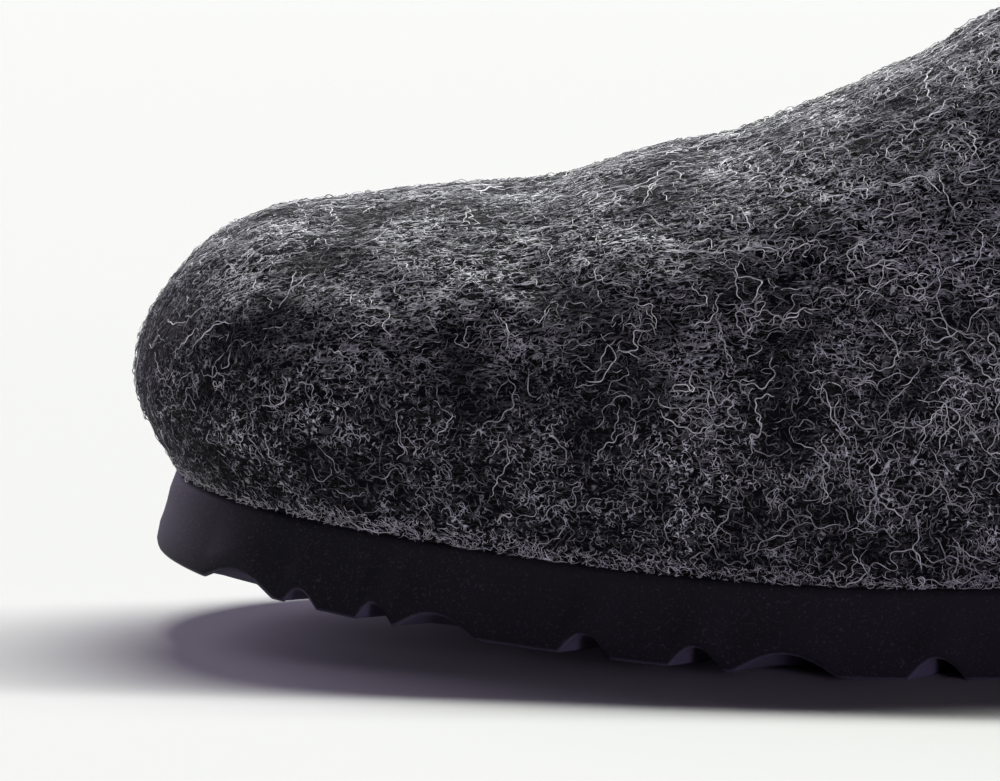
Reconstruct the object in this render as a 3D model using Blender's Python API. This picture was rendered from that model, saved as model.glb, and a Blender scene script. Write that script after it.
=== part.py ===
"""Felt slipper for the left foot: a foam sole, a hollow felt upper and an insole.

Metres, +Z up. The toe points to -X and the outer side of the foot faces -Y. The floor is
z = 0, and the origin is under the middle of the shoe. Places along the shoe are distances
from the foremost point of the toe, and tables hold them as shares of the length they name.
"""

import math
from typing import NamedTuple

import bmesh
import bpy
import numpy as np

# The last: length and widths of the felt, heights above the floor
LENGTH = 0.278
BALL_WIDTH = 0.104
HEEL_WIDTH = 0.070
TOE_HEIGHT = 0.0624
INSTEP_HEIGHT = 0.1002
THROAT = 0.140
TOE_ROUND = 0.043
HEEL_ROUND = 0.036
TOE_CAP_DEPTH = 0.025
HEEL_LEAN_DEPTH = 0.030
TOE_SWING = 0.005
RIDGE_SHIFT = 0.006
OUTLINE_POWER = 2.1

# The felt upper
WALL = 0.003
BULGE_HEIGHT = 0.0132
TUCK_POWER = 1.6
SIDE_RIM_HEIGHT = 0.053
COLLAR_CENTRE = 0.45
EDGE_ROUND = 0.0012
DOME_SIDE_POWER = 2.3
DOME_TOP_POWER = 2.0

# The foam sole
TOE_SPRING = 0.0129
SPRING_LENGTH = 0.118
SPRING_POWER = 1.8
TOE_THICKNESS = 0.0117
BALL_THICKNESS = 0.0125
HEEL_THICKNESS = 0.022
TOE_OVERHANG = 0.0059
HEEL_OVERHANG = 0.0035
SIDE_OVERHANG = 0.0032
TOE_FLARE = 0.0027
SIDE_FLARE = 0.0022
ARCH_RISE = 0.0022
OUTER_ARCH_RISE = 0.0007
HEEL_LIFT = 0.0022
HEEL_LIFT_LENGTH = 0.016
GROOVE_POWER = 1.25
TREAD_WAVE = 0.0040
TREAD_WAVE_LENGTH = 0.060
SCOOP_SHARE = 0.085

# Where forms start and are full, as shares of the length
SWING_END = 0.36
THIN_TOE = (0.0, 0.20)
WEDGE = (0.46, 0.86)
ARCH_FRONT = (0.55, 0.60)
ARCH_BACK = (0.64, 0.70)
SLANT_FRONT = (0.02, 0.10)
SLANT_BACK = (0.90, 0.985)
CUP_SIDES = (0.62, 0.88)
PAD_FRONT = (0.38, 0.56)
PAD_BACK = (0.62, 0.80)

# Seats and clearances between the pieces
FIT = 0.0003
SEAT_INSET = 0.0006
FELT_FOOT = 1.2 * WALL

# The insole
INSOLE_THICKNESS = 0.0042
HEEL_CUP = 0.005
ARCH_PAD = 0.0045
INSOLE_EDGE = 0.0012
INSOLE_EDGE_DRAW = 0.0005
CUP_POWER = 2.5
PAD_POWER = 1.6

# How finely the forms are divided
UPPER_COLUMNS = 76
PATH_SAMPLES = 240
TUCK_SAMPLES = 40
OUTER_ROWS = 23
INNER_ROWS = 11
ROW_CROWDING = 1.25
SOLE_ACROSS = (0.035, 0.065, SCOOP_SHARE, 0.2, 0.35, 0.5)
SOLE_TOP_ACROSS = 2
SOLE_END_STATIONS = 60
CLOSEST_STATIONS = 0.0008
SHIFT_ROUNDS = 8
GROOVE_STEPS = (-1, -0.86, -0.5, 0, 0.5, 0.86, 1)
SHARP_DEGREES = 35
INSOLE_STATIONS = 34
INSOLE_ACROSS = 10


class Width(NamedTuple):
    """Half widths at a share of the length, as shares of half the ball and half the heel width."""

    place: float
    outer: float
    inner: float
    heel: float


WIDTHS = (
    Width(0.00, 0.82, 0.84, 0.00),
    Width(0.14, 0.85, 0.93, 0.00),
    Width(0.20, 0.90, 0.98, 0.00),
    Width(0.27, 0.96, 1.00, 0.00),
    Width(0.36, 1.00, 0.96, 0.00),
    Width(0.46, 0.96, 0.83, 0.00),
    Width(0.56, 0.63, 0.48, 0.38),
    Width(0.66, 0.26, 0.16, 0.84),
    Width(0.78, 0.05, 0.02, 0.99),
    Width(0.90, 0.00, 0.00, 1.00),
    Width(1.00, 0.00, 0.00, 0.98),
)


class Ridge(NamedTuple):
    """Height of the top line at a share of the throat's distance, from toe to instep height."""

    place: float
    rise: float


RIDGE = (
    Ridge(0.00, -0.03),
    Ridge(0.17, 0.00),
    Ridge(0.34, 0.075),
    Ridge(0.46, 0.12),
    Ridge(0.505, 0.185),
    Ridge(0.55, 0.225),
    Ridge(0.60, 0.262),
    Ridge(0.71, 0.40),
    Ridge(0.80, 0.55),
    Ridge(0.90, 0.755),
    Ridge(1.00, 0.97),
    Ridge(1.10, 1.10),
    Ridge(1.30, 1.20),
    Ridge(2.00, 1.20),
)


class Collar(NamedTuple):
    """Height of the cut edge, from the throat (0) to the heel (1), from side rim to instep."""

    place: float
    rise: float


COLLAR = (
    Collar(-0.20, 1.30),
    Collar(0.00, 0.99),
    Collar(0.05, 0.88),
    Collar(0.12, 0.66),
    Collar(0.22, 0.38),
    Collar(0.34, 0.15),
    Collar(0.48, 0.02),
    Collar(0.66, 0.02),
    Collar(0.86, 0.11),
    Collar(1.00, 0.19),
)


class Groove(NamedTuple):
    """A groove of the tread: place as a share of the length, width, depth, slant and whether it runs across.

    One that doesn't is a scoop at each side, which ends SCOOP_SHARE of the sole's width inside the edge.
    """

    place: float
    width: float
    depth: float
    slant: float
    across: bool


TREAD = (
    Groove(0.077, 0.0118, 0.0026, 0.06, False),
    Groove(0.112, 0.0052, 0.0024, 0.10, False),
    Groove(0.1505, 0.0052, 0.0028, 0.13, True),
    Groove(0.182, 0.0118, 0.0028, 0.15, False),
    Groove(0.258, 0.0074, 0.0031, 0.15, True),
    Groove(0.3145, 0.0076, 0.0031, 0.15, True),
    Groove(0.360, 0.0150, 0.0031, 0.15, False),
    Groove(0.436, 0.0082, 0.0031, 0.13, True),
    Groove(0.492, 0.0078, 0.0030, 0.10, True),
    Groove(0.545, 0.0140, 0.0030, 0.06, False),
    Groove(0.606, 0.0078, 0.0030, 0.00, True),
    Groove(0.664, 0.0078, 0.0030, -0.06, True),
    Groove(0.722, 0.0140, 0.0030, -0.10, False),
    Groove(0.784, 0.0078, 0.0030, -0.12, True),
    Groove(0.842, 0.0078, 0.0030, -0.14, True),
    Groove(0.900, 0.0120, 0.0028, -0.14, False),
    Groove(0.948, 0.0064, 0.0024, -0.12, True),
)


class Level(NamedTuple):
    """A line along the sole's wall: share of its height, and of the way out to the full flare."""

    height: float
    flare: float


SOLE_WALL = (
    Level(0.00, 0.93),
    Level(0.05, 1.00),
    Level(0.50, 0.56),
    Level(0.92, 0.06),
    Level(1.00, -0.30),
)


def column(table, name):
    """One named column of a table as an array."""
    return np.array([getattr(row, name) for row in table])


def along(table, name, place):
    """A column of a table at some places, on a smooth curve through its rows."""
    known = column(table, "place")
    values = column(table, name)
    slopes = np.gradient(values, known)
    place = np.clip(place, known[0], known[-1])
    row = np.clip(np.searchsorted(known, place, side="right") - 1, 0, len(known) - 2)
    step = known[row + 1] - known[row]
    t = (place - known[row]) / step
    from_start = (1 + 2 * t) * (1 - t) ** 2 * values[row] + t * (1 - t) ** 2 * step * slopes[row]
    to_end = t * t * (3 - 2 * t) * values[row + 1] - t * t * (1 - t) * step * slopes[row + 1]
    return from_start + to_end


def ease(x, span):
    """A smooth step along the shoe, from 0 at the span's start to 1 at its end."""
    start, end = span
    t = np.clip((x / LENGTH - start) / (end - start), 0, 1)
    return t * t * (3 - 2 * t)


def rounded_end(distance, depth, power):
    """From 0 at the tip to 1 at the depth, along a quarter of an oval."""
    left = np.clip(1 - distance / depth, 0, 1)
    return (1 - left**power) ** (1 / power)


def centre_line(x):
    """Sideways place of the last's middle line, which swings inwards at the toe."""
    return TOE_SWING * np.clip(1 - x / (SWING_END * LENGTH), 0, 1) ** 2


class Outline(NamedTuple):
    """A closed outline in plan: its two ends along the shoe, and how far its sides are drawn in."""

    front: float
    back: float
    inset: float

    def drawn_in(self, amount):
        """The same outline with every side moved inwards."""
        return Outline(self.front + amount, self.back - amount, self.inset + amount)

    def edge(self, x, side):
        """Sideways place of the edge: side is -1 on the outer side and +1 on the inner side."""
        share = x / LENGTH
        ball = along(WIDTHS, "outer" if side < 0 else "inner", share) * BALL_WIDTH / 2
        full = ball + along(WIDTHS, "heel", share) * HEEL_WIDTH / 2 - self.inset
        ends = rounded_end(x - self.front, TOE_ROUND, OUTLINE_POWER)
        ends = ends * rounded_end(self.back - x, HEEL_ROUND, OUTLINE_POWER)
        return centre_line(x) + side * full * ends

    def spaced(self, count):
        """Places from front to back, closer together at both ends."""
        turn = np.linspace(0, math.pi, count)
        return self.front + (self.back - self.front) * (1 - np.cos(turn)) / 2

    def ring(self, count):
        """Points round the outline, from the toe along the outer side and back along the inner."""
        half = count // 2
        out = self.spaced(half + 1)
        back = out[-2:0:-1]
        outer = np.stack([out, self.edge(out, -1)], axis=-1)
        inner = np.stack([back, self.edge(back, 1)], axis=-1)
        return np.concatenate([outer, inner])


FELT = Outline(0.0, LENGTH, 0.0)
SOLE_TOP = Outline(TOE_OVERHANG, LENGTH - HEEL_OVERHANG, SIDE_OVERHANG)
SEAT = SOLE_TOP.drawn_in(SEAT_INSET)
FOOTBED = SEAT.drawn_in(FELT_FOOT + FIT)


def toe_spring(x):
    """How far the toe curves up off the floor."""
    return TOE_SPRING * np.clip(1 - x / SPRING_LENGTH, 0, 1) ** SPRING_POWER


def sole_bottom(x, across):
    """Height of the sole's underside without its grooves; across is -1 outer to +1 inner."""
    waist = ease(x, ARCH_FRONT) * (1 - ease(x, ARCH_BACK))
    inwards = (1 + across) / 2
    arch = waist * (OUTER_ARCH_RISE + (ARCH_RISE - OUTER_ARCH_RISE) * inwards)
    heel = HEEL_LIFT * np.clip(1 - (LENGTH - x) / HEEL_LIFT_LENGTH, 0, 1) ** 2
    return toe_spring(x) + arch + heel


def sole_top(x):
    """Height of the sole's upper face, where the felt and the insole lie."""
    toe = TOE_THICKNESS + (BALL_THICKNESS - TOE_THICKNESS) * ease(x, THIN_TOE)
    return toe_spring(x) + toe + (HEEL_THICKNESS - toe) * ease(x, WEDGE)


def tread(x, inside):
    """Depth of the grooves, as arches with soft shoulders; a scoop's floor rounds down to the tread.

    The share inside is 0 at the nearer edge of the sole and 0.5 in its middle.
    """
    scoop = np.sqrt(1 - np.clip(inside / SCOOP_SHARE, 0, 1) ** 2)
    depth = np.zeros_like(x + scoop)
    for groove in TREAD:
        off = np.clip(np.abs(x - groove.place * LENGTH) * 2 / groove.width, 0, 1)
        arch = groove.depth * (1 - off**2) ** GROOVE_POWER
        depth = depth + arch * (1.0 if groove.across else scoop)
    return depth


def tread_shift(x, y):
    """How far along the shoe a groove has moved at a distance in from the sole's outer side."""
    places = column(TREAD, "place") * LENGTH
    slant = np.interp(x, places, column(TREAD, "slant"))
    fade = ease(x, SLANT_FRONT) * (1 - ease(x, SLANT_BACK))
    inwards = y - SOLE_TOP.edge(x, -1)
    wave = TREAD_WAVE * np.sin(2 * math.pi * inwards / TREAD_WAVE_LENGTH)
    return (slant * inwards + wave) * fade


def widest_height(x):
    """Height of the line where the felt bulges out furthest."""
    return sole_top(x) + BULGE_HEIGHT


def dome_height(x, y):
    """Height of the closed last above a place in plan: an oval arch over every cross-section."""
    low = widest_height(x)
    rise = along(RIDGE, "rise", x / THROAT)
    ridge = TOE_HEIGHT + rise * (INSTEP_HEIGHT - TOE_HEIGHT)
    ends = rounded_end(x, TOE_CAP_DEPTH, 2) * rounded_end(LENGTH - x, HEEL_LEAN_DEPTH, 2)
    middle = centre_line(x) + RIDGE_SHIFT * ends
    outer = np.maximum(middle - FELT.edge(x, -1), 1e-6)
    inner = np.maximum(FELT.edge(x, 1) - middle, 1e-6)
    across = np.where(y < middle, (middle - y) / outer, (y - middle) / inner)
    arch = (1 - np.clip(across, 0, 1) ** DOME_SIDE_POWER) ** (1 / DOME_TOP_POWER)
    return low + (ridge - low) * ends * arch


def collar_height(x):
    """Height of the upper's cut edge, seen from the side."""
    rise = along(COLLAR, "rise", (x - THROAT) / (LENGTH - THROAT))
    return SIDE_RIM_HEIGHT + rise * (INSTEP_HEIGHT - SIDE_RIM_HEIGHT)


def normals_of(grid):
    """Unit normals of a grid of points whose columns close into a ring, pointing outwards."""
    ring = np.roll(grid, -1, axis=0) - np.roll(grid, 1, axis=0)
    up = np.gradient(grid, axis=1)
    normal = np.cross(ring, up)
    return normal / np.linalg.norm(normal, axis=-1, keepdims=True)


def upper_sheet():
    """Fine grid of the felt's outer face, column by column, from the sole to inside the collar."""
    widest = FELT.ring(UPPER_COLUMNS)
    seat = SEAT.ring(UPPER_COLUMNS)
    centre_x = THROAT + COLLAR_CENTRE * (LENGTH - THROAT)
    centre = np.array([centre_x, centre_line(centre_x)])
    base = sole_top(seat[:, :1]) + FIT
    high = widest_height(widest[:, :1])

    climb = np.linspace(0, 1, TUCK_SAMPLES)[None, :]
    drawn = ((1 - climb) ** TUCK_POWER)[..., None]
    low_plan = widest[:, None] + (seat - widest)[:, None] * drawn
    low_z = base + (high - base) * climb

    reach = np.linspace(0, 0.98, PATH_SAMPLES)[None, 1:] ** 2
    high_plan = widest[:, None] + (centre - widest)[:, None] * reach[..., None]
    high_z = dome_height(high_plan[..., 0], high_plan[..., 1])

    plan = np.concatenate([low_plan, high_plan], axis=1)
    z = np.concatenate([low_z, high_z], axis=1)
    return np.concatenate([plan, z[..., None]], axis=-1)


def cut_lengths(sheet):
    """Length of each column's path at every sample, and where it meets the collar's cut."""
    steps = np.linalg.norm(np.diff(sheet, axis=1), axis=-1)
    length = np.concatenate([np.zeros((len(sheet), 1)), np.cumsum(steps, axis=1)], axis=1)
    above = sheet[..., 2] - collar_height(sheet[..., 0])
    first = np.argmax(above > 0, axis=1)
    rows = np.arange(len(sheet))
    before = above[rows, first - 1]
    share = -before / (above[rows, first] - before)
    ends = length[rows, first - 1] + share * (length[rows, first] - length[rows, first - 1])
    return length, ends


def sampled(sheet, length, wanted):
    """The sheet's values at wanted path lengths, one row of lengths for each column."""
    return np.stack(
        [
            np.stack([np.interp(want, path, values[:, axis]) for axis in range(3)], axis=-1)
            for want, path, values in zip(wanted, length, sheet)
        ]
    )


def upper_rings():
    """Rings of the upper, up its outer face, over the rounded collar and down its inner face."""
    sheet = upper_sheet()
    normals = normals_of(sheet)
    length, ends = cut_lengths(sheet)
    last = (ends - EDGE_ROUND)[:, None]

    outer_share = np.linspace(0, 1, OUTER_ROWS)[None] ** ROW_CROWDING
    outer = sampled(sheet, length, last * outer_share)
    inner_share = np.linspace(1, 0, INNER_ROWS)[None] ** ROW_CROWDING
    inner = sampled(sheet, length, last * inner_share)
    inner = inner - WALL * sampled(normals, length, last * inner_share)
    crest = sampled(sheet, length, ends[:, None])
    crest = crest - WALL / 2 * sampled(normals, length, ends[:, None])

    foot = SEAT.drawn_in(FELT_FOOT).ring(UPPER_COLUMNS)
    foot = np.concatenate([foot, sole_top(foot[:, :1]) + FIT], axis=-1)[:, None]
    return np.concatenate([outer, crest, inner, foot], axis=1).transpose(1, 0, 2)


def sole_stations():
    """Places along the sole: round its ends, and at the edges, flanks and tops of its grooves."""
    ends = SOLE_TOP.spaced(SOLE_END_STATIONS)[1:-1]
    ends = ends[(ends < TREAD[0].place * LENGTH) | (ends > TREAD[-1].place * LENGTH)]
    grooves = [
        groove.place * LENGTH + groove.width / 2 * off
        for groove in TREAD
        for off in GROOVE_STEPS
    ]
    steps = len(GROOVE_STEPS)
    lands = np.array([grooves[steps - 1 : -steps : steps], grooves[steps::steps]]).mean(axis=0)
    clear = [x for x in ends if np.abs(x - np.array(grooves)).min() > CLOSEST_STATIONS]
    return np.sort(np.concatenate([clear, grooves, lands]))


def flared(x, level):
    """The sole's outline at one level of its wall, and the stations' places along it."""
    flare = SIDE_FLARE * level.flare
    front = SOLE_TOP.front - TOE_FLARE * level.flare
    outline = Outline(front, SOLE_TOP.back + flare, SOLE_TOP.inset - flare)
    share = (x - SOLE_TOP.front) / (SOLE_TOP.back - SOLE_TOP.front)
    return outline, front + share * (outline.back - front)


def sole_ring(x, level, side):
    """Points of one line along the sole's wall, for one side."""
    outline, own = flared(x, level)
    moved = own
    for _ in range(SHIFT_ROUNDS):
        moved = own + tread_shift(own, outline.edge(moved, side))
    y = outline.edge(moved, side)
    bottom = sole_bottom(moved, side) + tread(x, 0.0)
    z = bottom + level.height * (sole_top(moved) - bottom)
    return np.stack([moved, y, z], axis=-1)


def sole_rings():
    """Rings round the sole's cross-sections, one for each station from toe to heel."""
    x = sole_stations()
    outer = [sole_ring(x, level, -1) for level in SOLE_WALL]
    inner = [sole_ring(x, level, 1) for level in SOLE_WALL]
    half = np.array(SOLE_ACROSS)
    share = np.concatenate([half, 1 - half[-2::-1]])[:, None]

    low_y = outer[0][:, 1] + share * (inner[0][:, 1] - outer[0][:, 1])
    own = flared(x, SOLE_WALL[0])[1]
    low_x = own + tread_shift(own, low_y)
    low_z = sole_bottom(low_x, 2 * share - 1) + tread(x, np.minimum(share, 1 - share))
    low = np.stack([low_x, low_y, low_z], axis=-1)

    high_share = np.linspace(0, 1, SOLE_TOP_ACROSS + 1)[1:-1, None, None]
    high = inner[-1] + high_share * (outer[-1] - inner[-1])
    high[..., 2] = sole_top(high[..., 0])
    return np.stack([*outer[::-1], *low, *inner, *high], axis=1)


def insole_rings():
    """Rings round the insole's cross-sections: a flat underside and a cupped upper face."""
    x = FOOTBED.spaced(INSOLE_STATIONS + 2)[1:-1]
    outer = FOOTBED.edge(x, -1)
    inner = FOOTBED.edge(x, 1)
    across = np.linspace(-1, 1, INSOLE_ACROSS + 1)[:, None]
    middle = (outer + inner) / 2
    half = (inner - outer) / 2
    under_y = middle + across * half
    under = np.stack([x + 0 * under_y, under_y, sole_top(x) + FIT + 0 * under_y], axis=-1)

    drawn = np.where(np.abs(across) == 1, INSOLE_EDGE_DRAW, 0)
    over_y = under_y - np.sign(across) * drawn * np.minimum(1, half / INSOLE_EDGE)
    cup = HEEL_CUP * ease(x, CUP_SIDES) * np.abs(across) ** CUP_POWER
    back = HEEL_CUP * (1 - rounded_end(FOOTBED.back - x, HEEL_ROUND, 1))
    waist = ease(x, PAD_FRONT) * (1 - ease(x, PAD_BACK))
    pad = ARCH_PAD * waist * np.clip(across, 0, 1) ** PAD_POWER
    lip = np.where(np.abs(across) == 1, INSOLE_EDGE, 0)
    rise = INSOLE_THICKNESS + np.maximum(cup, back) + pad - lip
    over = np.stack([x + 0 * over_y, over_y, sole_top(x) + FIT + rise], axis=-1)
    return np.concatenate([under, over[::-1]]).transpose(1, 0, 2)


def material(name, colour, roughness):
    """A plain Principled material for one piece."""
    made = bpy.data.materials.new(name)
    made.use_nodes = True
    shader = made.node_tree.nodes["Principled BSDF"]
    shader.inputs["Base Color"].default_value = (*colour, 1.0)
    shader.inputs["Roughness"].default_value = roughness
    shader.inputs["Metallic"].default_value = 0.0
    return made


def solid_from_rings(name, rings, finish, closed):
    """A solid whose surface runs from ring to ring, joined back to the first or capped."""
    mesh = bpy.data.meshes.new(name)
    shell = bmesh.new()
    loops = [[shell.verts.new(point) for point in ring.tolist()] for ring in rings]
    following = loops[1:] + loops[:1] if closed else loops[1:]
    for loop, other in zip(loops, following):
        for i, vertex in enumerate(loop):
            j = (i + 1) % len(loop)
            shell.faces.new((vertex, loop[j], other[j], other[i]))
    if not closed:
        shell.faces.new(loops[0])
        shell.faces.new(loops[-1])
    bmesh.ops.recalc_face_normals(shell, faces=shell.faces)
    bmesh.ops.triangulate(shell, faces=shell.faces)
    for vertex in shell.verts:
        vertex.co.x -= LENGTH / 2
    shell.to_mesh(mesh)
    shell.free()
    mesh.shade_smooth()
    mesh.set_sharp_from_angle(angle=math.radians(SHARP_DEGREES))
    mesh.materials.append(finish)
    made = bpy.data.objects.new(name, mesh)
    bpy.context.scene.collection.objects.link(made)
    return made


def main():
    """Clear the scene and build the three pieces."""
    for old in list(bpy.data.objects):
        bpy.data.objects.remove(old, do_unlink=True)
    foam = material("black foam rubber", (0.008, 0.007, 0.009), 0.72)
    felt = material("charcoal wool felt", (0.021, 0.020, 0.022), 0.97)
    lining = material("grey insole felt", (0.17, 0.165, 0.16), 0.92)
    solid_from_rings("sole", sole_rings(), foam, closed=False)
    solid_from_rings("upper", upper_rings(), felt, closed=True)
    solid_from_rings("insole", insole_rings(), lining, closed=False)


main()
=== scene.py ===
"""Looks of a grey felt slipper: a wool-felt upper with loose curly fibres, a foam-rubber sole and an insole.

Everything is in metres, in the frame of the CAD model: the toe points to -X, the outer side of
the foot faces -Y, and the slipper stands on the floor at z = 0. Places along the shoe, written x
in the shape functions, are distances from the foremost point of the toe.
"""

import logging
import math
from dataclasses import dataclass, field
from enum import Enum

import bpy
import numpy as np
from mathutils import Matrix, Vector


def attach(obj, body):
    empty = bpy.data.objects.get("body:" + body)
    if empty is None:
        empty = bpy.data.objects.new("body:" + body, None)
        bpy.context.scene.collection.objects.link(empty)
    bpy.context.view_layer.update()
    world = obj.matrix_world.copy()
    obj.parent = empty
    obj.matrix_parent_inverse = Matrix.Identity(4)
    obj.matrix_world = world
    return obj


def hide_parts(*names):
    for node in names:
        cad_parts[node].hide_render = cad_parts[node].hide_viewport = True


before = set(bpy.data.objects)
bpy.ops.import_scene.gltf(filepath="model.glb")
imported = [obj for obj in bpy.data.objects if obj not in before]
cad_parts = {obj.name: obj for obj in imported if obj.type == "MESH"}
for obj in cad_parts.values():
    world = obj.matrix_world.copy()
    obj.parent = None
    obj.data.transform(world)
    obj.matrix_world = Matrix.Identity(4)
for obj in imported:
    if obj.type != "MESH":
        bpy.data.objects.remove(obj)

Array = np.ndarray
Span = tuple[float, float]
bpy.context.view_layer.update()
MM = 0.001
log = logging.getLogger("slipper")


class Side(Enum):
    """The two sides of the shoe; the value is the sign of the sideways axis."""

    OUTER = -1
    INNER = 1


class Lie(Enum):
    """How fibres lie on the felt."""

    MATTED = "matted"
    LOOSE = "loose"
    FRAYED = "frayed"


def linear(hex_colour: str) -> tuple[float, float, float, float]:
    """Turn an sRGB colour into the linear values that shaders take.

    Args:
        hex_colour: six hex digits, such as "2b2b2e".

    Returns:
        Red, green, blue and an alpha of one.
    """
    parts = [int(hex_colour[i : i + 2], 16) / 255 for i in (0, 2, 4)]
    light = [c / 12.92 if c <= 0.04045 else ((c + 0.055) / 1.055) ** 2.4 for c in parts]
    return (light[0], light[1], light[2], 1.0)


def ramp(value: Array, start: float, end: float) -> Array:
    """A straight ramp from 0 at the start to 1 at the end, level beyond both."""
    return np.clip((value - start) / (end - start), 0, 1)


@dataclass(frozen=True)
class Table:
    """Named columns over places along the shoe, read on a smooth curve through the rows."""

    place: tuple[float, ...]
    columns: dict[str, tuple[float, ...]]

    def at(self, name: str, place: Array) -> Array:
        """Read a column with cubic pieces whose slopes are those of the neighbouring rows.

        Args:
            name: the column.
            place: places in the table's own share.

        Returns:
            The column's value at each place, held constant past the ends.
        """
        known = np.array(self.place)
        values = np.array(self.columns[name])
        slopes = np.gradient(values, known)
        place = np.clip(place, known[0], known[-1])
        row = np.clip(np.searchsorted(known, place, side="right") - 1, 0, len(known) - 2)
        step = known[row + 1] - known[row]
        t = (place - known[row]) / step
        start = (1 + 2 * t) * (1 - t) ** 2 * values[row] + t * (1 - t) ** 2 * step * slopes[row]
        end = t * t * (3 - 2 * t) * values[row + 1] - t * t * (1 - t) * step * slopes[row + 1]
        return start + end


WIDTHS = Table(
    place=(0.00, 0.14, 0.20, 0.27, 0.36, 0.46, 0.56, 0.66, 0.78, 0.90, 1.00),
    columns={
        "outer": (0.82, 0.85, 0.90, 0.96, 1.00, 0.96, 0.63, 0.26, 0.05, 0.00, 0.00),
        "inner": (0.84, 0.93, 0.98, 1.00, 0.96, 0.83, 0.48, 0.16, 0.02, 0.00, 0.00),
        "heel": (0.00, 0.00, 0.00, 0.00, 0.00, 0.00, 0.38, 0.84, 0.99, 1.00, 0.98),
    },
)
RIDGE = Table(
    place=(0.00, 0.17, 0.34, 0.46, 0.505, 0.55, 0.60, 0.71, 0.80, 0.90, 1.00, 1.10, 1.30, 2.00),
    columns={
        "rise": (-0.03, 0.0, 0.075, 0.12, 0.185, 0.225, 0.262, 0.40, 0.55, 0.755, 0.97, 1.10, 1.20, 1.20)
    },
)
COLLAR = Table(
    place=(-0.20, 0.00, 0.05, 0.12, 0.22, 0.34, 0.48, 0.66, 0.86, 1.00),
    columns={"rise": (1.30, 0.99, 0.88, 0.66, 0.38, 0.15, 0.02, 0.02, 0.11, 0.19)},
)
TREAD = Table(
    place=(0.077, 0.112, 0.1505, 0.182, 0.258, 0.3145, 0.360, 0.436, 0.492)
    + (0.545, 0.606, 0.664, 0.722, 0.784, 0.842, 0.900, 0.948),
    columns={
        "width": (0.0118, 0.0052, 0.0052, 0.0118, 0.0074, 0.0076, 0.0150, 0.0082, 0.0078)
        + (0.0140, 0.0078, 0.0078, 0.0140, 0.0078, 0.0078, 0.0120, 0.0064),
        "depth": (0.0026, 0.0024, 0.0028, 0.0028, 0.0031, 0.0031, 0.0031, 0.0031, 0.0030)
        + (0.0030, 0.0030, 0.0030, 0.0030, 0.0030, 0.0030, 0.0028, 0.0024),
        "slant": (0.06, 0.10, 0.13, 0.15, 0.15, 0.15, 0.15, 0.13, 0.10)
        + (0.06, 0.00, -0.06, -0.10, -0.12, -0.14, -0.14, -0.12),
        "across": (0, 0, 1, 0, 1, 1, 0, 1, 1) + (0, 1, 1, 0, 1, 1, 0, 1),
    },
)


@dataclass(frozen=True)
class Outline:
    """A closed outline in plan: its two ends along the shoe and how far its sides are drawn in."""

    last: "Last"
    front: float
    back: float
    inset: float

    def drawn_in(self, amount: float) -> "Outline":
        """The same outline with every side moved inwards."""
        return Outline(self.last, self.front + amount, self.back - amount, self.inset + amount)

    def edge(self, x: Array, side: Side) -> Array:
        """Sideways place of the edge: the table's half width, rounded off like an oval at each end.

        Args:
            x: places along the shoe.
            side: which edge.

        Returns:
            The sideways place at each x.
        """
        last = self.last
        share = x / last.length
        ball = WIDTHS.at(side.name.lower(), share) * last.ball_width / 2
        full = ball + WIDTHS.at("heel", share) * last.heel_width / 2 - self.inset
        ends = last.rounded(x - self.front, last.toe_round, last.outline_power)
        ends = ends * last.rounded(self.back - x, last.heel_round, last.outline_power)
        return last.centre_line(x) + side.value * full * ends

    def ring(self, count: int) -> Array:
        """Points round the outline, from the toe along the outer side and back along the inner.

        Args:
            count: how many points, an even number.

        Returns:
            Points in plan, crowded towards both ends.
        """
        turn = np.linspace(0, math.pi, count // 2 + 1)
        out = self.front + (self.back - self.front) * (1 - np.cos(turn)) / 2
        back = out[-2:0:-1]
        outer = np.stack([out, self.edge(out, Side.OUTER)], axis=-1)
        inner = np.stack([back, self.edge(back, Side.INNER)], axis=-1)
        return np.concatenate([outer, inner])


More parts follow.
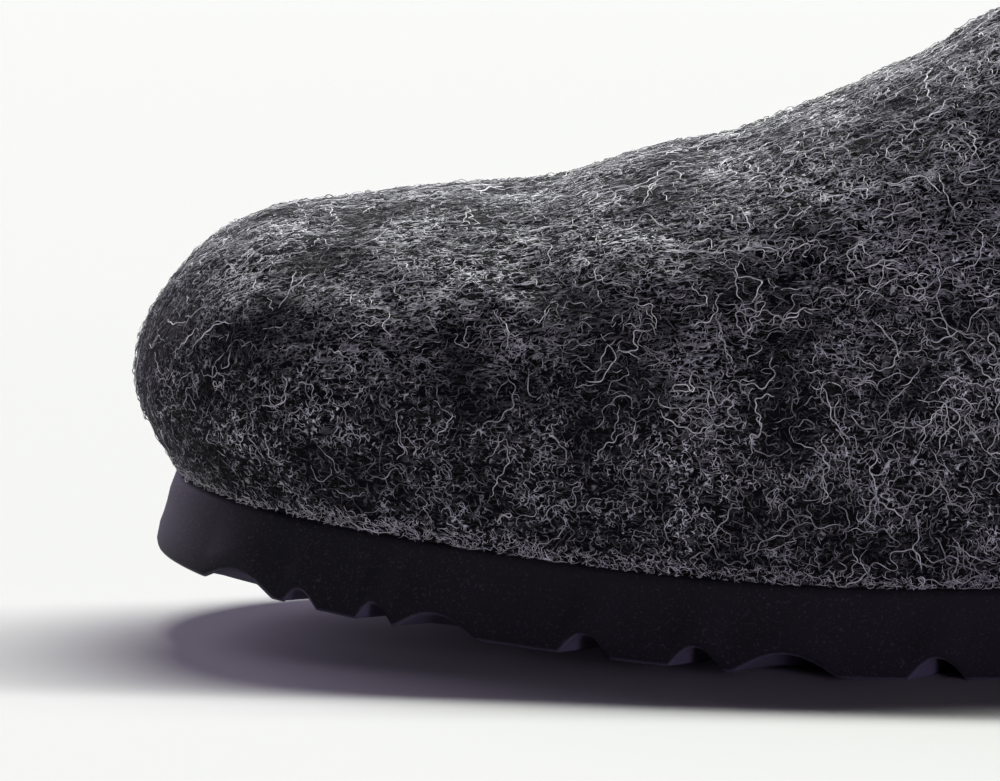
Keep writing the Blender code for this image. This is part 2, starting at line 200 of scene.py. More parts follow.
@dataclass(frozen=True)
class Last:
    """The last's sizes and the forms that the three pieces share."""

    length: float = 0.278
    ball_width: float = 0.104
    heel_width: float = 0.070
    toe_height: float = 0.0624
    instep_height: float = 0.1002
    throat: float = 0.140
    toe_round: float = 0.043
    heel_round: float = 0.036
    toe_cap_depth: float = 0.025
    heel_lean_depth: float = 0.030
    least_width: float = 1e-6
    toe_swing: float = 0.005
    swing_end: float = 0.36
    ridge_shift: float = 0.006
    outline_power: float = 2.1
    dome_side_power: float = 2.3
    bulge_height: float = 0.0132
    side_rim_height: float = 0.053
    toe_spring: float = 0.0129
    spring_length: float = 0.118
    spring_power: float = 1.8
    toe_thickness: float = 0.0117
    ball_thickness: float = 0.0125
    heel_thickness: float = 0.022
    thickening: Span = (0.0, 0.20)
    heel_wedge: Span = (0.46, 0.86)
    toe_overhang: float = 0.0059
    heel_overhang: float = 0.0035
    side_overhang: float = 0.0032
    seat_inset: float = 0.0006
    fit: float = 0.0003

    @staticmethod
    def rounded(distance: Array, depth: float, power: float) -> Array:
        """From 0 at a tip to 1 at the depth, along a quarter of an oval of that power."""
        left = np.clip(1 - distance / depth, 0, 1)
        return (1 - left**power) ** (1 / power)

    def ease(self, x: Array, start: float, end: float) -> Array:
        """A smooth step along the shoe between two shares of its length."""
        t = ramp(x / self.length, start, end)
        return t * t * (3 - 2 * t)

    def centre_line(self, x: Array) -> Array:
        """Sideways place of the middle line, which swings inwards as a square towards the toe."""
        return self.toe_swing * np.clip(1 - x / (self.swing_end * self.length), 0, 1) ** 2

    def felt(self) -> Outline:
        """The widest outline of the felt."""
        return Outline(self, 0.0, self.length, 0.0)

    def sole_edge(self) -> Outline:
        """The sole's upper edge."""
        return Outline(self, self.toe_overhang, self.length - self.heel_overhang, self.side_overhang)

    def seat(self) -> Outline:
        """Where the felt's outer face meets the sole."""
        return self.sole_edge().drawn_in(self.seat_inset)

    def spring(self, x: Array) -> Array:
        """How far the toe curves up off the floor."""
        return self.toe_spring * np.clip(1 - x / self.spring_length, 0, 1) ** self.spring_power

    def sole_top(self, x: Array) -> Array:
        """Height of the sole's upper face: the toe spring plus a thickness that grows to the heel."""
        grown = (self.ball_thickness - self.toe_thickness) * self.ease(x, *self.thickening)
        toe = self.toe_thickness + grown
        return self.spring(x) + toe + (self.heel_thickness - toe) * self.ease(x, *self.heel_wedge)

    def widest_height(self, x: Array) -> Array:
        """Height of the line where the felt bulges out furthest."""
        return self.sole_top(x) + self.bulge_height

    def ridge_height(self, x: Array) -> Array:
        """Height of the top line before it rounds off at the toe and heel."""
        return self.toe_height + RIDGE.at("rise", x / self.throat) * (self.instep_height - self.toe_height)

    def dome_height(self, x: Array, y: Array) -> Array:
        """Height of the closed last over a place in plan: an oval arch over each cross-section.

        Args:
            x: places along the shoe.
            y: sideways places.

        Returns:
            The height at each place.
        """
        low = self.widest_height(x)
        ends = self.rounded(x, self.toe_cap_depth, 2)
        ends = ends * self.rounded(self.length - x, self.heel_lean_depth, 2)
        middle = self.centre_line(x) + self.ridge_shift * ends
        outer = np.maximum(middle - self.felt().edge(x, Side.OUTER), self.least_width)
        inner = np.maximum(self.felt().edge(x, Side.INNER) - middle, self.least_width)
        across = np.where(y < middle, (middle - y) / outer, (y - middle) / inner)
        arch = np.sqrt(1 - np.clip(across, 0, 1) ** self.dome_side_power)
        return low + (self.ridge_height(x) - low) * ends * arch

    def collar_height(self, x: Array) -> Array:
        """Height of the upper's cut edge, seen from the side."""
        rise = COLLAR.at("rise", (x - self.throat) / (self.length - self.throat))
        return self.side_rim_height + rise * (self.instep_height - self.side_rim_height)


def unit(vectors: Array) -> Array:
    """The vectors at length one."""
    return vectors / np.maximum(np.linalg.norm(vectors, axis=-1, keepdims=True), 1e-12)


def soft_noise(points: Array, size: float, seed: int, waves: int = 9) -> Array:
    """A smooth random value near -1 to 1 in space, as a sum of sine waves in random directions.

    Args:
        points: places, with x, y and z last.
        size: the typical distance between neighbouring bumps.
        seed: which pattern.
        waves: how many waves are added up.

    Returns:
        One value for each place.
    """
    rng = np.random.default_rng(seed)
    ways = unit(rng.normal(size=(waves, 3)))
    ways = ways * rng.uniform(0.6, 1.5, (waves, 1)) * 2 * math.pi / size
    phases = rng.uniform(0, 2 * math.pi, waves)
    return np.sin(points @ ways.T + phases).sum(axis=-1) / math.sqrt(waves)


def new_object(name: str, data: bpy.types.ID) -> bpy.types.Object:
    """Make an object of the data and put it in the scene."""
    made = bpy.data.objects.new(name, data)
    bpy.context.scene.collection.objects.link(made)
    return made


def make_piece(name: str, points: Array, faces: list[Array], finish: bpy.types.Material) -> bpy.types.Object:
    """Put arrays of points and faces into a new mesh object that rides on the one body.

    Args:
        name: the object's name.
        points: one row for each point, with the toe tip at x = 0.
        faces: arrays of point numbers, one array for each number of corners.
        finish: the material.

    Returns:
        The object, at the origin, smooth shaded.
    """
    mesh = bpy.data.meshes.new(name)
    placed = points.reshape(-1, 3) - np.array([Last.length / 2, 0, 0])
    corners = np.concatenate([part.reshape(-1) for part in faces]).astype(np.int32)
    sizes = np.concatenate([np.full(len(part), part.shape[1]) for part in faces])
    starts = np.concatenate([[0], np.cumsum(sizes)[:-1]]).astype(np.int32)
    mesh.vertices.add(len(placed))
    mesh.vertices.foreach_set("co", placed.astype(np.float32).reshape(-1))
    mesh.loops.add(len(corners))
    mesh.loops.foreach_set("vertex_index", corners)
    mesh.polygons.add(len(starts))
    mesh.polygons.foreach_set("loop_start", starts)
    mesh.update(calc_edges=True)
    mesh.shade_smooth()
    mesh.materials.append(finish)
    piece = new_object(name, mesh)
    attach(piece, "root")
    log.info("%s: %d triangles", name, (sizes - 2).sum())
    return piece


def ring_faces(rows: int, columns: int, joined: bool) -> Array:
    """Four-cornered faces between rings of points, each ring closed on itself.

    Args:
        rows: how many rings.
        columns: points in each ring.
        joined: whether the last ring also meets the first.

    Returns:
        Point numbers, four in each row.
    """
    row = np.arange(rows if joined else rows - 1)[:, None]
    column = np.arange(columns)[None, :]
    following = (row + 1) % rows
    beside = (column + 1) % columns
    at = np.stack(
        [
            row * columns + column,
            row * columns + beside,
            following * columns + beside,
            following * columns + column,
        ],
        axis=-1,
    )
    return at.reshape(-1, 4)


def tube_faces(rings: int, columns: int) -> list[Array]:
    """Faces of a tube of rings that is closed at both ends.

    Args:
        rings: how many rings.
        columns: points in each ring.

    Returns:
        The four-cornered faces between the rings, and one face for each end.
    """
    ring = np.arange(columns)
    ends = np.stack([ring[::-1], ring + (rings - 1) * columns])
    return [ring_faces(rings, columns, joined=False), ends]


def mark_points(piece: bpy.types.Object, name: str, values: Array) -> None:
    """Store one value for each point of a piece, for its material to read."""
    marks = piece.data.attributes.new(name, "FLOAT", "POINT").data
    marks.foreach_set("value", values.astype(np.float32))


def add(
    tree: bpy.types.NodeTree, kind: str, inputs: dict | None = None, **settings: object
) -> bpy.types.Node:
    """Add a node with its settings, its sockets' values and the links into it.

    Args:
        tree: the material's node tree.
        kind: the node type's name, without the prefix.
        inputs: for each socket, by name or number, a value or the output that feeds it.
        settings: the node's own properties.

    Returns:
        The node.
    """
    made = tree.nodes.new("ShaderNode" + kind)
    for key, value in settings.items():
        setattr(made, key, value)
    for key, value in (inputs or {}).items():
        if isinstance(value, bpy.types.NodeSocket):
            tree.links.new(value, made.inputs[key])
        else:
            made.inputs[key].default_value = value
    return made


def new_material(name: str, sockets: dict) -> tuple[bpy.types.Material, bpy.types.NodeTree, bpy.types.Node]:
    """An empty material with its Principled shader, already linked to the output.

    Args:
        name: the material's name.
        sockets: what is the same all over the surface, by the name of the shader's socket.

    Returns:
        The material, its tree and the shader.
    """
    made = bpy.data.materials.new(name)
    made.use_nodes = True
    tree = made.node_tree
    tree.nodes.clear()
    shader = add(tree, "BsdfPrincipled", sockets)
    add(tree, "OutputMaterial", {"Surface": shader.outputs["BSDF"]})
    return made, tree, shader


@dataclass(frozen=True)
class Strands:
    """A layer of strands in the felt: thin lines where a smooth noise passes its middle value.

    Such lines curl and close as fibres do, and a second noise breaks them into lengths. The width
    is half a line's width in the noise's own value, and layers differ by their pattern number.
    """

    curl: float
    width: float
    pattern: float
    line_curls: float = 1.6
    line_detail: float = 1.2
    line_wander: float = 0.35
    soft_edge: float = 0.4
    break_curls: float = 1.9
    break_pattern: float = 9.0
    break_from: Span = (0.44, 0.56)

    def mask(self, tree: bpy.types.NodeTree, place: bpy.types.NodeSocket) -> bpy.types.NodeSocket:
        """Add the layer's nodes to a material.

        Args:
            tree: the material's tree.
            place: the coordinates to read.

        Returns:
            A mask, 1 on the strands.
        """
        lines = {
            "Vector": place,
            "W": self.pattern,
            "Scale": 1 / (self.line_curls * self.curl),
            "Detail": self.line_detail,
            "Distortion": self.line_wander,
        }
        noise = add(tree, "TexNoise", lines, noise_dimensions="4D").outputs[0]
        away = add(tree, "Math", {0: noise, 1: 0.5}, operation="SUBTRACT").outputs[0]
        near = add(tree, "Math", {0: away}, operation="ABSOLUTE").outputs[0]
        edges = {"Value": near, "From Min": self.width, "From Max": self.width * self.soft_edge}
        line = add(tree, "MapRange", edges).outputs[0]
        breaks = {
            "Vector": place,
            "W": self.pattern + self.break_pattern,
            "Scale": 1 / (self.break_curls * self.curl),
            "Detail": 2.0,
        }
        patchy = add(tree, "TexNoise", breaks, noise_dimensions="4D").outputs[0]
        low, high = self.break_from
        keep = add(tree, "MapRange", {"Value": patchy, "From Min": low, "From Max": high}).outputs[0]
        return add(tree, "Math", {0: line, 1: keep}, operation="MULTIPLY").outputs[0]


@dataclass(frozen=True)
class WoolFelt:
    """Blocked wool felt: matted fibres pressed into a dull dark sheet with paler strands in it.

    The eye sees no thread or weave, only short curly lines over near-black gaps, which are painted shade
    in the hollows between fibres. They run at every angle on the sides, and lie combed along the shoe and
    closer together near the top line, where the felt faces up: real combing, and partly a painted lighter
    top where the light falls from above.
    angle on the sides, and lie combed along the shoe and closer together near the top line.
    """

    # near-black painted shade for the hollows between the fibres
    painted_gap_shade: str = "050506"
    ground: str = "121215"
    strand: str = "e4e4ea"
    curled: tuple[Strands, Strands] = (Strands(1.05 * MM, 0.018, 0.0), Strands(0.6 * MM, 0.025, 3.7))
    combed: tuple[Strands, Strands] = (Strands(0.38 * MM, 0.044, 7.1), Strands(0.608 * MM, 0.036, 5.3))
    combing: tuple[float, float, float] = (0.30, 1.0, 1.0)
    # where the felt faces up the pale combed strands show more: partly a painted lighter top
    painted_top_light_facing: Span = (0.22, 0.75)
    combed_share: Span = (0.10, 0.9)
    grain: float = 0.2 * MM
    grain_from: Span = (0.46, 0.72)
    cloud: float = 12 * MM
    cloud_from: Span = (0.38, 0.66)
    dimmest_cloud: float = 0.15
    relief: float = 0.25 * MM
    relief_strength: float = 0.9
    roughness: float = 0.95
    specular: float = 0.1

    def material(self) -> bpy.types.Material:
        """Build the felt: painted shade in the gaps, the ground, curled strands and combed ones, all of them
        as bump too.

        Returns:
            The material.
        """
        sockets = {"Roughness": self.roughness, "Specular IOR Level": self.specular}
        made, tree, shader = new_material("wool felt", sockets)
        coordinates = add(tree, "TexCoord")
        place = coordinates.outputs["Object"]
        along = add(tree, "Mapping", {"Vector": place, "Scale": self.combing}).outputs[0]
        strands = self.strands(tree, place, along, coordinates.outputs["Normal"])
        fine = {"Vector": along, "Scale": 1 / (2 * self.grain), "Detail": 3.0}
        grain = add(tree, "TexNoise", fine).outputs[0]
        low, high = self.grain_from
        # Low grain is the bump's hollows and also gets the near-black gap colour: painted shade in the
        # hollows.
        depth = add(tree, "MapRange", {"Value": grain, "From Min": low, "From Max": high}).outputs[0]
        shades = {0: depth, 6: linear(self.painted_gap_shade), 7: linear(self.ground)}
        ground = add(tree, "Mix", shades, data_type="RGBA").outputs[2]
        cloud = add(tree, "TexNoise", {"Vector": place, "Scale": 1 / self.cloud, "Detail": 3.0}).outputs[0]
        low, high = self.cloud_from
        clouds = {"Value": cloud, "From Min": low, "From Max": high, "To Min": self.dimmest_cloud}
        bright = add(tree, "MapRange", clouds).outputs[0]
        shown = add(tree, "Math", {0: strands, 1: bright}, operation="MULTIPLY").outputs[0]
        colour = add(tree, "Mix", {0: shown, 6: ground, 7: linear(self.strand)}, data_type="RGBA").outputs[2]
        relief = add(tree, "Math", {0: strands, 1: grain}, operation="ADD").outputs[0]
        raised = {"Height": relief, "Strength": self.relief_strength, "Distance": self.relief}
        tree.links.new(colour, shader.inputs["Base Color"])
        tree.links.new(add(tree, "Bump", raised).outputs[0], shader.inputs["Normal"])
        return made

    def strands(
        self,
        tree: bpy.types.NodeTree,
        place: bpy.types.NodeSocket,
        along: bpy.types.NodeSocket,
        normal: bpy.types.NodeSocket,
    ) -> bpy.types.NodeSocket:
        """Put the layers together: curled strands all over, and combed ones where the felt faces up, partly
        real combing and partly a painted lighter top where light falls from above.

        Args:
            tree: the material's tree.
            place: the coordinates for the curled strands.
            along: the same, drawn out along the shoe, for the combed strands.
            normal: which way the felt faces.

        Returns:
            A mask, 1 on the strands.
        """
        curls = [layer.mask(tree, place) for layer in self.curled]
        flats = [layer.mask(tree, along) for layer in self.combed]
        # More pale combed strands where the normal points up: partly real combing, partly painted top light.
        facing = add(tree, "SeparateXYZ", {0: normal}).outputs["Z"]
        low, high = self.painted_top_light_facing
        painted_top_light = add(tree, "MapRange", {"Value": facing, "From Min": low, "From Max": high}).outputs[0]
        least, most = self.combed_share
        share = add(tree, "MapRange", {"Value": painted_top_light, "To Min": least, "To Max": most}).outputs[0]
        curled = add(tree, "Math", {0: curls[0], 1: curls[1]}, operation="MAXIMUM").outputs[0]
        combed = add(tree, "Math", {0: flats[0], 1: flats[1]}, operation="MAXIMUM").outputs[0]
        combed_and_painted_top_light = add(tree, "Math", {0: combed, 1: share}, operation="MULTIPLY").outputs[0]
        return add(tree, "Math", {0: curled, 1: combed_and_painted_top_light}, operation="MAXIMUM").outputs[0]


@dataclass(frozen=True)
class WoolFibre:
    """One shade of loose wool fibre: fine, dull and a little silky, and paler where it is combed out."""

    name: str
    dark: str
    light: str
    sheen: float
    sheen_roughness: float = 0.45
    roughness: float = 0.72
    specular: float = 0.2

    def material(self) -> bpy.types.Material:
        """Build the fibre: each one's own tone runs from the dark to the light shade.

        Returns:
            The material.
        """
        sockets = {
            "Roughness": self.roughness,
            "Specular IOR Level": self.specular,
            "Sheen Weight": self.sheen,
            "Sheen Roughness": self.sheen_roughness,
        }
        made, tree, shader = new_material(self.name, sockets)
        tone = add(tree, "Attribute", attribute_name="tone").outputs["Fac"]
        shades = {0: tone, 6: linear(self.dark), 7: linear(self.light)}
        tree.links.new(add(tree, "Mix", shades, data_type="RGBA").outputs[2], shader.inputs["Base Color"])
        return made


@dataclass(frozen=True)
class FoamRubber:
    """Foam rubber, black with a violet cast.

    The side wall is ground and shows a fine matte pebble. The moulded tread is smoother and a little
    shiny. Its paler colour is painted light: a painted reflection of the bright floor in the grooves, and a
    painted highlight along the wall's lowest edge.
    """

    skin: str = "1a191e"
    worn: str = "4c4a53"
    # paler tread colour: painted reflection of the lit floor and painted highlight on the groove edges
    moulded: str = "5c5868"
    grain: float = 0.2 * MM
    grain_roughness: float = 0.65
    speck_from: Span = (0.56, 0.70)
    cloud: float = 24 * MM
    relief: float = 0.12 * MM
    relief_strength: float = 0.5
    roughness: float = 0.75
    moulded_roughness: float = 0.42
    specular: float = 0.2

    def material(self) -> bpy.types.Material:
        """Build the wall's pebble with paler specks, and fade by the tread attribute to the tread's paler
        colour, which is a painted reflection and a painted highlight.

        Returns:
            The material.
        """
        made, tree, shader = new_material("moulded foam rubber", {"Specular IOR Level": self.specular})
        place = add(tree, "TexCoord").outputs["Object"]
        pebble = {
            "Vector": place,
            "Scale": 1 / (2 * self.grain),
            "Detail": 4.0,
            "Roughness": self.grain_roughness,
        }
        grain = add(tree, "TexNoise", pebble).outputs[0]
        cloud = add(tree, "TexNoise", {"Vector": place, "Scale": 1 / self.cloud, "Detail": 3.0}).outputs[0]
        low, high = self.speck_from
        speck = add(tree, "MapRange", {"Value": grain, "From Min": low, "From Max": high}).outputs[0]
        tone = add(tree, "Math", {0: speck, 1: cloud}, operation="MULTIPLY").outputs[0]
        shades = {0: tone, 6: linear(self.skin), 7: linear(self.worn)}
        wall = add(tree, "Mix", shades, data_type="RGBA").outputs[2]
        tread = add(tree, "Attribute", attribute_name="tread").outputs["Fac"]
        # The tread colour is painted light: floor reflection in the grooves, highlight along the wall's
        # lowest edge.
        colour = add(tree, "Mix", {0: tread, 6: wall, 7: linear(self.moulded)}, data_type="RGBA").outputs[2]
        dullness = {"Value": tread, "To Min": self.roughness, "To Max": self.moulded_roughness}
        raised = {"Height": grain, "Strength": self.relief_strength, "Distance": self.relief}
        tree.links.new(colour, shader.inputs["Base Color"])
        tree.links.new(add(tree, "MapRange", dullness).outputs[0], shader.inputs["Roughness"])
        tree.links.new(add(tree, "Bump", raised).outputs[0], shader.inputs["Normal"])
        return made


@dataclass(frozen=True)
class InsoleFelt:
    """Dense needled felt cover of a footbed: mid grey, short napped, flatter than the upper."""

    dark: str = "55555a"
    light: str = "7d7d81"
    nap: float = 0.35 * MM
    nap_wander: float = 1.2
    nap_from: Span = (0.36, 0.64)
    cloud: float = 18 * MM
    relief: float = 0.2 * MM
    relief_strength: float = 0.7
    roughness: float = 0.93
    sheen: float = 0.3

    def material(self) -> bpy.types.Material:
        """Build the cover: a fine mottled nap and broad soft clouds.

        Returns:
            The material.
        """
        sockets = {"Roughness": self.roughness, "Sheen Weight": self.sheen}
        made, tree, shader = new_material("needled felt cover", sockets)
        place = add(tree, "TexCoord").outputs["Object"]
        naps = {
            "Vector": place,
            "Scale": 1 / (2 * self.nap),
            "Detail": 4.0,
            "Distortion": self.nap_wander,
        }
        nap = add(tree, "TexNoise", naps).outputs[0]
        cloud = add(tree, "TexNoise", {"Vector": place, "Scale": 1 / self.cloud, "Detail": 2.0}).outputs[0]
        low, high = self.nap_from
        tone = add(tree, "MapRange", {"Value": nap, "From Min": low, "From Max": high}).outputs[0]
        mixed = add(tree, "Math", {0: tone, 1: cloud}, operation="MULTIPLY").outputs[0]
        shades = {0: mixed, 6: linear(self.dark), 7: linear(self.light)}
        raised = {"Height": nap, "Strength": self.relief_strength, "Distance": self.relief}
        tree.links.new(add(tree, "Mix", shades, data_type="RGBA").outputs[2], shader.inputs["Base Color"])
        tree.links.new(add(tree, "Bump", raised).outputs[0], shader.inputs["Normal"])
        return made


@dataclass(frozen=True)
class PaleFloor:
    """A sheet of pale grey paper, matte and even, which the strip lamp lights to the picture's white."""

    paper: str = "ababab"
    roughness: float = 0.9
    specular: float = 0.1

    def material(self) -> bpy.types.Material:
        """Build the paper, dull and without a pattern."""
        sockets = {"Roughness": self.roughness, "Specular IOR Level": self.specular}
        return new_material("pale paper", {"Base Color": linear(self.paper), **sockets})[0]


@dataclass
class Upper:
    """The blocked felt shell: outer face, rounded collar, inner face and the foot that meets the sole."""

    last: Last
    finish: WoolFelt = field(default_factory=WoolFelt)
    wall: float = 0.003
    foot: float = 0.0036
    tuck_power: float = 1.6
    collar_centre: float = 0.45
    collar_fullness: float = 0.8
    columns: int = 192
    outer_rows: int = 100
    inner_rows: int = 26
    edge_steps: int = 5
    tuck_samples: int = 60
    dome_samples: int = 500
    dome_reach: float = 0.98
    lump: float = 0.25 * MM
    lump_size: float = 17 * MM
    smooth_foot: float = 1 / 12

    def fine_sheet(self) -> Array:
        """The outer face from the sole to inside the collar, one long path for each column.

        The lower part runs from the seat to the widest outline on a power curve. The upper part
        runs over the dome, straight in plan from the widest outline towards the collar's centre.

        Returns:
            Points by column and sample.
        """
        last = self.last
        widest = last.felt().ring(self.columns)
        seat = last.seat().ring(self.columns)
        centre_x = last.throat + self.collar_centre * (last.length - last.throat)
        centre = np.array([centre_x, float(last.centre_line(np.array(centre_x)))])
        base = last.sole_top(seat[:, :1]) + last.fit
        high = last.widest_height(widest[:, :1])
        climb = np.linspace(0, 1, self.tuck_samples)[None, :]
        drawn = ((1 - climb) ** self.tuck_power)[..., None]
        low_plan = widest[:, None] + (seat - widest)[:, None] * drawn
        low_z = base + (high - base) * climb
        reach = np.linspace(0, self.dome_reach, self.dome_samples)[None, 1:] ** 2
        high_plan = widest[:, None] + (centre - widest)[:, None] * reach[..., None]
        high_z = last.dome_height(high_plan[..., 0], high_plan[..., 1])
        plan = np.concatenate([low_plan, high_plan], axis=1)
        return np.concatenate([plan, np.concatenate([low_z, high_z], axis=1)[..., None]], axis=-1)

    def cut(self, sheet: Array) -> tuple[Array, Array]:
        """Measure every path, and find where it first rises past the collar's line.

        Args:
            sheet: points by column and sample.

        Returns:
            The path length at every sample, and each path's length up to the collar.
        """
        steps = np.linalg.norm(np.diff(sheet, axis=1), axis=-1)
        length = np.concatenate([np.zeros((len(sheet), 1)), np.cumsum(steps, axis=1)], axis=1)
        above = sheet[..., 2] - self.last.collar_height(sheet[..., 0])
        first = np.argmax(above > 0, axis=1)
        rows = np.arange(len(sheet))
        before = above[rows, first - 1]
        share = -before / (above[rows, first] - before)
        ends = length[rows, first - 1] + share * (length[rows, first] - length[rows, first - 1])
        return length, ends

    @staticmethod
    def sampled(values: Array, length: Array, wanted: Array) -> Array:
        """Read every path at wanted lengths; all paths are laid end to end and read in one pass.

        Args:
            values: points by path and sample.
            length: the path length at every sample, always under the space between paths.
            wanted: the lengths to read at, by path.

        Returns:
            Points by path and wanted length.
        """
        apart = 10.0
        shift = np.arange(len(length))[:, None] * apart
        known = (length + shift).reshape(-1)
        want = (np.clip(wanted, 0, length[:, -1:]) + shift).reshape(-1)
        read = [np.interp(want, known, values[..., axis].reshape(-1)) for axis in range(3)]
        return np.stack(read, axis=-1).reshape(*wanted.shape, 3)

    def outer_face(self) -> tuple[Array, Array]:
        """The outer face with soft lumps, which fade out towards the sole.

        Returns:
            Points by column and row, evenly spaced up each column, and their normals.
        """
        sheet = self.fine_sheet()
        length, ends = self.cut(sheet)
        share = np.linspace(0, 1, self.outer_rows)[None]
        face = self.sampled(sheet, length, ends[:, None] * share)
        normals = self.normals(face)
        lumps = soft_noise(face, self.lump_size, seed=5) + soft_noise(face, self.lump_size / 3, seed=6) / 2
        face = face + normals * (lumps * self.lump * ramp(share, 0, self.smooth_foot))[..., None]
        return face, self.normals(face)

    @staticmethod
    def normals(face: Array) -> Array:
        """Outward normals of a grid whose columns close into a ring."""
        around = np.roll(face, -1, axis=0) - np.roll(face, 1, axis=0)
        return unit(np.cross(around, np.gradient(face, axis=1)))

    def build(self) -> tuple[Array, Array]:
        """Make the shell: the outer face, half an oval over the collar's edge, the inner face and the foot.

        Returns:
            The grid of the outer face and that of its normals, which the fibres follow.
        """
        face, normals = self.outer_face()
        picks = np.linspace(self.outer_rows - 1, 0, self.inner_rows).round().astype(int)
        inner = face[:, picks] - self.wall * normals[:, picks]
        turn = np.linspace(0, math.pi, self.edge_steps + 2)[1:-1, None]
        middle = (face[:, -1:] + inner[:, :1]) / 2
        out = (face[:, -1:] - inner[:, :1]) / 2
        up = unit(face[:, -1:] - face[:, -2:-1]) * self.wall / 2 * self.collar_fullness
        rim = middle + out * np.cos(turn) + up * np.sin(turn)
        low = self.last.seat().drawn_in(self.foot).ring(self.columns)
        low = np.concatenate([low, self.last.sole_top(low[:, :1]) + self.last.fit], axis=-1)[:, None]
        rings = np.concatenate([face, rim, inner, low], axis=1).transpose(1, 0, 2)
        faces = ring_faces(len(rings), self.columns, joined=True)
        piece = make_piece("felt_shell", rings, [faces], self.finish.material())
        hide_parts("upper")
        return face, normals


@dataclass(frozen=True)
class Patches:
    """Thick and thin places in the wool, as a soft noise round 1."""

    size: float
    strength: float
    least: float
    most: float = 3.0

    def at(self, places: Array, seed: int) -> Array:
        """How thickly the wool grows at each place."""
        return np.clip(1 + self.strength * soft_noise(places, self.size, seed), self.least, self.most)


@dataclass(frozen=True)
class Growth:
    """Where loose fibres show and which way they lie, the same for every coat.

    Places are measured from the toe's tip and heights from the floor. A slope is how far the felt
    faces up, from -1 to 1. Where a range runs from high to low, so does what it stands for.
    """

    front_end: float = 0.16
    front_extra: float = 0.7
    bare_toe: float = 0.45
    bare_toe_places: Span = (0.12, 0.08)
    bare_toe_heights: Span = (0.05, 0.04)
    gathering_places: Span = (0.065, 0.095)
    patches: Patches = Patches(14 * MM, 0.55, 0.1)
    clumps: Patches = Patches(5 * MM, 0.45, 0.15)
    frayed_height: float = 1.6 * MM
    frayed_spread: float = 0.7
    combed_slopes: Span = (0.05, 0.45)
    combed_share: float = 0.8
    combed_spread: float = 0.5
    upright_places: Span = (0.07, 0.0)
    upright_slopes: Span = (0.2, -0.2)
    upright_share: float = 0.6
    upright_spread: float = 0.6
    rearward_lean: float = 0.25


@dataclass(frozen=True)
class Curl:
    """How a loose fibre bends, rises, tapers and changes tone along its length, the same for every coat."""

    length_bias: Span = (1.6, 2.6)
    slow_wave: Span = (4 * MM, 9 * MM)
    short_wave: Span = (1.6 * MM, 3.2 * MM)
    swing: float = 0.8
    crimp_share: Span = (0.3, 1.3)
    sunk: float = 0.05 * MM
    arch_power: float = 0.7
    tail_power: float = 1.4
    ripple: float = 0.25
    ripple_beat: Span = (0.6, 1.8)
    ripple_turns: float = 1.7
    ripple_start: float = 0.3
    tip: float = 0.35
    taper_turn: Span = (0.05, 0.97)
    bead_turn: Span = (6.0, 16.0)
    bead_depth: float = 0.75
    tone_bias: Span = (2.2, 1.4)

    def rise(self, lie: Lie, height: Array, beat: Array, t: Array) -> Array:
        """Height over the felt: a rippled arch for a matted fibre, and a rising tail for the others.

        Args:
            lie: how the fibres lie.
            height: each fibre's greatest height.
            beat: how fast each fibre ripples.
            t: shares of the length.

        Returns:
            The height by fibre and share.
        """
        if lie is not Lie.MATTED:
            return height * t**self.tail_power - self.sunk * (1 - t)
        arch = height * np.sin(math.pi * t) ** self.arch_power - self.sunk
        turns = beat * self.ripple_turns * t + self.ripple_start
        return arch + self.ripple * height * np.sin(2 * math.pi * turns) * np.sin(math.pi * t)

    def taper(self, t: Array) -> Array:
        """Share of the full radius along a fibre: thin at both ends, on the root of a sine."""
        start, end = self.taper_turn
        turn = math.pi * np.clip(start + t * (end - start), 0, 1)
        return self.tip + (1 - self.tip) * np.sin(turn) ** 0.5


